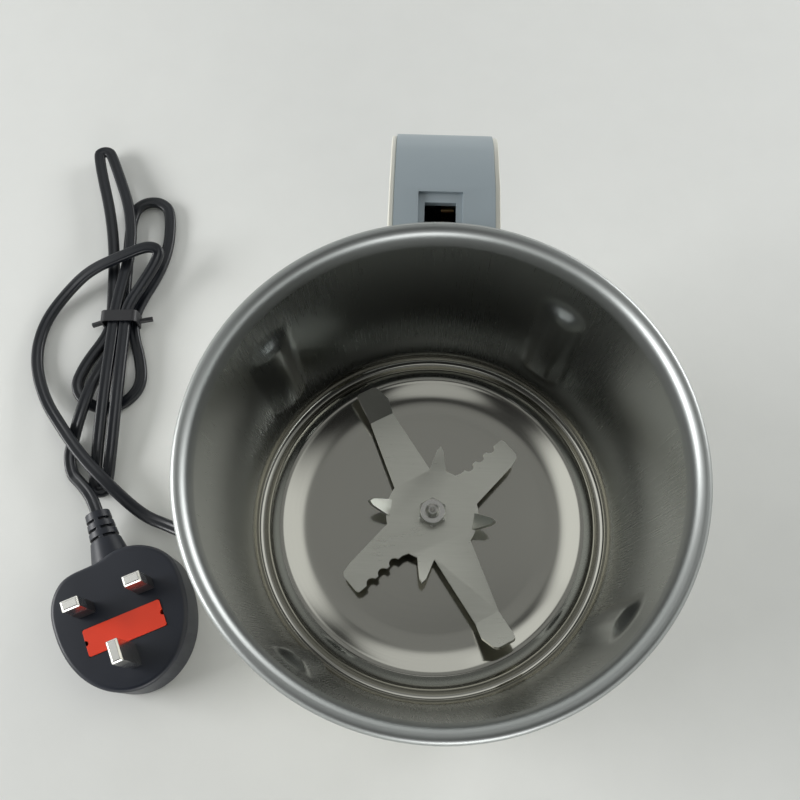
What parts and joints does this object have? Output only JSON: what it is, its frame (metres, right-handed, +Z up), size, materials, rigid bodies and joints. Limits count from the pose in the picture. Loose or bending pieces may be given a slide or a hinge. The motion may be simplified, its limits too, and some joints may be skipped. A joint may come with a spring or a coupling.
{
  "type": "electric grain mill",
  "caption": "Small electric grain mill: steel milling cup with a cross blade, plastic housing, mug handle with a lid switch, tied mains lead and plug.",
  "frame": {"origin": "on the table, under the middle of the mill's own bounding box without the free lead; the motor axis is at y = -0.01975", "axes": "+Z up along the motor axis, +Y towards the handle, +X to the right when the handle points away"},
  "size_m": [0.2279, 0.2516, 0.1662],
  "materials": {
    "polished_steel": "deep-drawn stainless steel, satin wall and bright floor",
    "blade_steel": "pressed stainless sheet, satin",
    "shaft_steel": "ground bright steel",
    "screw_steel": "zinc-plated steel",
    "white_plastic": "moulded ABS, soft gloss, cream white",
    "grey_plastic": "moulded ABS, soft gloss, blue grey",
    "black_plastic": "moulded, matt",
    "rubber_black": "matt",
    "lead_black": "PVC, soft sheen",
    "plug_black": "moulded PVC, soft sheen",
    "carrier_red": "moulded, glossy red",
    "cast_alloy": "die cast",
    "bronze": "phosphor bronze",
    "copper": "enamelled copper",
    "lamination": "stacked electrical steel",
    "carbon": "electrographite",
    "spring_steel": "spring wire",
    "fuse_ceramic": "ceramic body"
  },
  "bodies": {
    "mill": {"milling_cup": "polished_steel", "housing": "white_plastic", "base_plate": "black_plastic", "rubber_feet": "rubber_black", "base_screws": "screw_steel", "handle_core": "grey_plastic", "handle_cover_left": "white_plastic", "handle_cover_right": "white_plastic", "handle_screws": "screw_steel", "handle_mount_screws": "screw_steel", "plunger_spring": "spring_steel", "microswitch_body": "black_plastic", "bearing_sleeve": "shaft_steel", "sleeve_nut": "screw_steel", "shaft_seal": "rubber_black", "stator_core": "lamination", "field_coils": "copper", "upper_bracket": "cast_alloy", "upper_bearing": "bronze", "bracket_screws": "screw_steel", "lower_bracket": "cast_alloy", "lower_bearing": "bronze", "motor_screws": "screw_steel", "brush_holder_left": "bronze", "brush_left": "carbon", "brush_spring_left": "spring_steel", "brush_holder_right": "bronze", "brush_right": "carbon", "brush_spring_right": "spring_steel", "thermal_cutout": "black_plastic", "terminal_block": "black_plastic", "supply_lead": "lead_black", "cord_gland": "rubber_black", "cord_clamp": "black_plastic", "cord_clamp_screws": "screw_steel", "cord_mill_side": "lead_black", "cord_hank": "lead_black", "cord_plug_side": "lead_black", "twist_tie": "black_plastic", "plug_body": "plug_black", "plug_live_pin": "shaft_steel", "plug_neutral_pin": "shaft_steel", "plug_earth_pin": "shaft_steel", "pin_sleeves": "black_plastic"},
    "rotor": {"motor_shaft": "shaft_steel", "rotor_core": "lamination", "rotor_winding": "copper", "commutator": "copper", "cooling_fan": "black_plastic", "blade_spacer": "shaft_steel", "blade": "blade_steel", "blade_nut": "shaft_steel"},
    "plunger": {"interlock_plunger": "black_plastic"},
    "lever": {"switch_lever": "bronze"},
    "button": {"switch_button": "carrier_red"},
    "carrier": {"fuse_carrier": "carrier_red", "fuse": "fuse_ceramic"}
  },
  "joints": [
    {"name": "rotor_spin", "type": "hinge", "parent": "mill", "child": "rotor", "pos_m": [0, -0.01975, 0.06], "axis": [0, 0, 1], "continuous": true},
    {"name": "plunger_press", "type": "slide", "parent": "mill", "child": "plunger", "axis": [0, 0, -1], "range_m": [0, 0.004], "stiffness_N_per_m": 300, "springref_m": -0.002, "deforming": ["plunger_spring"]},
    {"name": "lever_tilt", "type": "hinge", "parent": "mill", "child": "lever", "pos_m": [0.0013, 0.05425, 0.1456], "axis": [1, 0, 0], "range_deg": [0, 16]},
    {"name": "button_press", "type": "slide", "parent": "mill", "child": "button", "axis": [0, 0, -1], "range_m": [0, 0.00142]},
    {"name": "fuse_carrier_lift", "type": "slide", "parent": "mill", "child": "carrier", "axis": [0, 0, 1], "range_m": [0, 0.012]}
  ],
  "couplings": [
    {"joint": "lever_tilt", "follows": "plunger_press", "rad_per_m": 69.4},
    {"joint": "button_press", "follows": "plunger_press", "ratio": 0.35}
  ]
}
